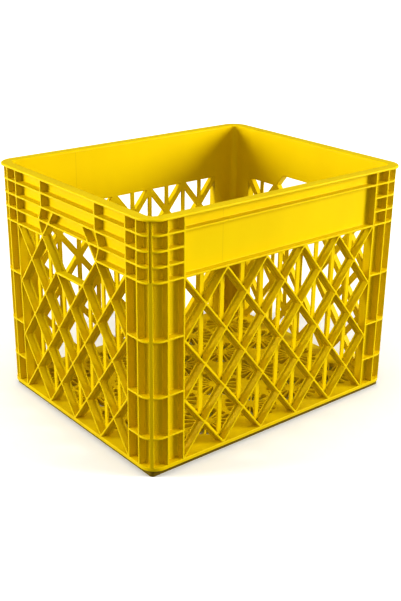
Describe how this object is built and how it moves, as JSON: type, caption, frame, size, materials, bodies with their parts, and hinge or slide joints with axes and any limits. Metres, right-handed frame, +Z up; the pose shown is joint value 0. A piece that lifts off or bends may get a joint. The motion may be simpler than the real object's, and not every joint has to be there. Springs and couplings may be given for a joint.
{
  "type": "dairy crate",
  "caption": "Rectangular yellow plastic dairy crate with ribbed corner posts, diamond lattice sides, hand holds in the short sides and an openwork floor.",
  "frame": {"origin": "centre of the footprint, on the surface that the foot stands on", "axes": "+Z up through the open top, +X along the long side, so the hand holds are in the -X and +X sides and the smooth panels in the -Y and +Y sides"},
  "size_m": [0.3812, 0.3082, 0.292],
  "materials": {
    "yellow_hdpe": "satin moulded"
  },
  "bodies": {
    "root": {"rim": "yellow_hdpe", "front_left_post": "yellow_hdpe", "front_right_post": "yellow_hdpe", "back_right_post": "yellow_hdpe", "back_left_post": "yellow_hdpe", "front_label_panel": "yellow_hdpe", "back_label_panel": "yellow_hdpe", "left_hand_hold": "yellow_hdpe", "right_hand_hold": "yellow_hdpe", "left_grip_bar": "yellow_hdpe", "right_grip_bar": "yellow_hdpe", "front_lattice": "yellow_hdpe", "back_lattice": "yellow_hdpe", "left_lattice": "yellow_hdpe", "right_lattice": "yellow_hdpe", "base_flange": "yellow_hdpe", "floor_plate": "yellow_hdpe", "floor_stars": "yellow_hdpe", "stacking_foot": "yellow_hdpe"}
  },
  "joints": []
}
